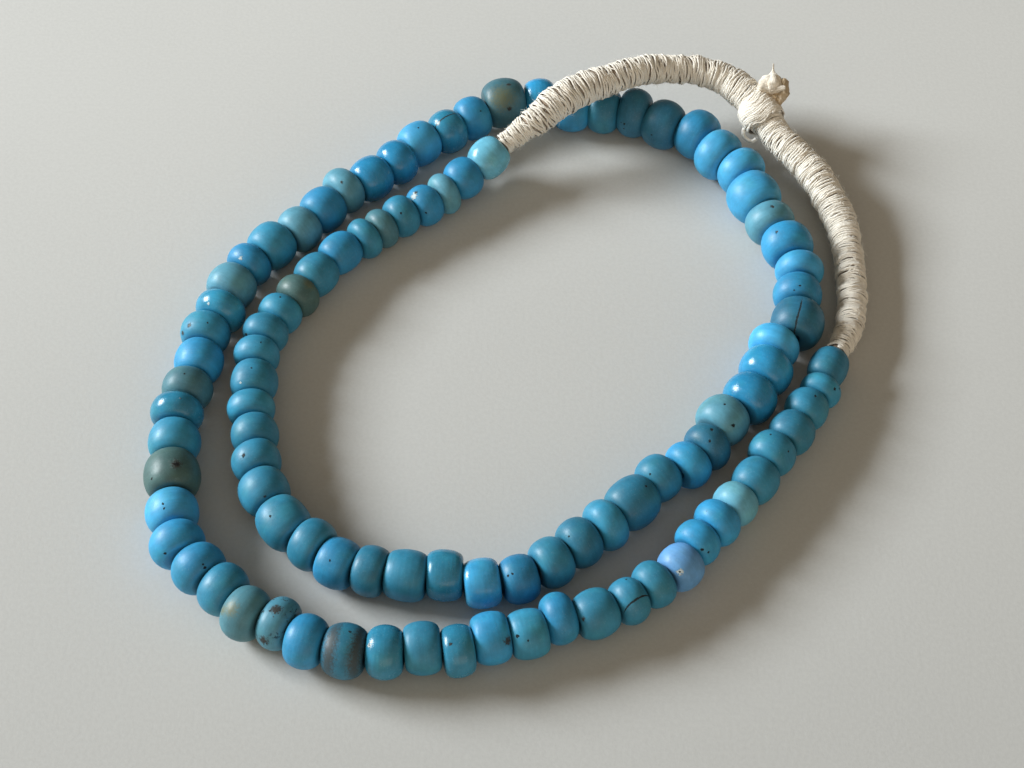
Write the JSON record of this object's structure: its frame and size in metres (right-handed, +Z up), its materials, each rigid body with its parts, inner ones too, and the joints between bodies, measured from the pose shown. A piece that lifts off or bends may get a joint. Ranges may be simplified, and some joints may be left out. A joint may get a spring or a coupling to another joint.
{
  "type": "beaded necklace",
  "caption": "Graduated old blue-green glass beads on a thread, laid doubled in a loop, closed by a neck stretch wound with cream cotton yarn and a frayed knot.",
  "frame": {"origin": "on the surface that the necklace lies on, under the middle of its whole outline", "axes": "+Z up from the surface, +Y the way the camera looks, towards the knot's end of the loop, +X to the right"},
  "size_m": [0.1407, 0.1479, 0.0174],
  "materials": {
    "bead_glass": "opaque old glass, softly worn gloss",
    "cotton_yarn": "matte, closely wound, slightly fuzzy",
    "frayed_cotton": "matte, frayed",
    "white_thread": "matte twisted thread"
  },
  "bodies": {
    "root": {"bead_string_inner": "bead_glass", "bead_string_outer": "bead_glass", "wrap_left": "cotton_yarn", "wrap_right": "cotton_yarn", "wrap_knot": "cotton_yarn", "knot_tuft": "frayed_cotton", "loose_thread_end": "white_thread"}
  },
  "joints": []
}
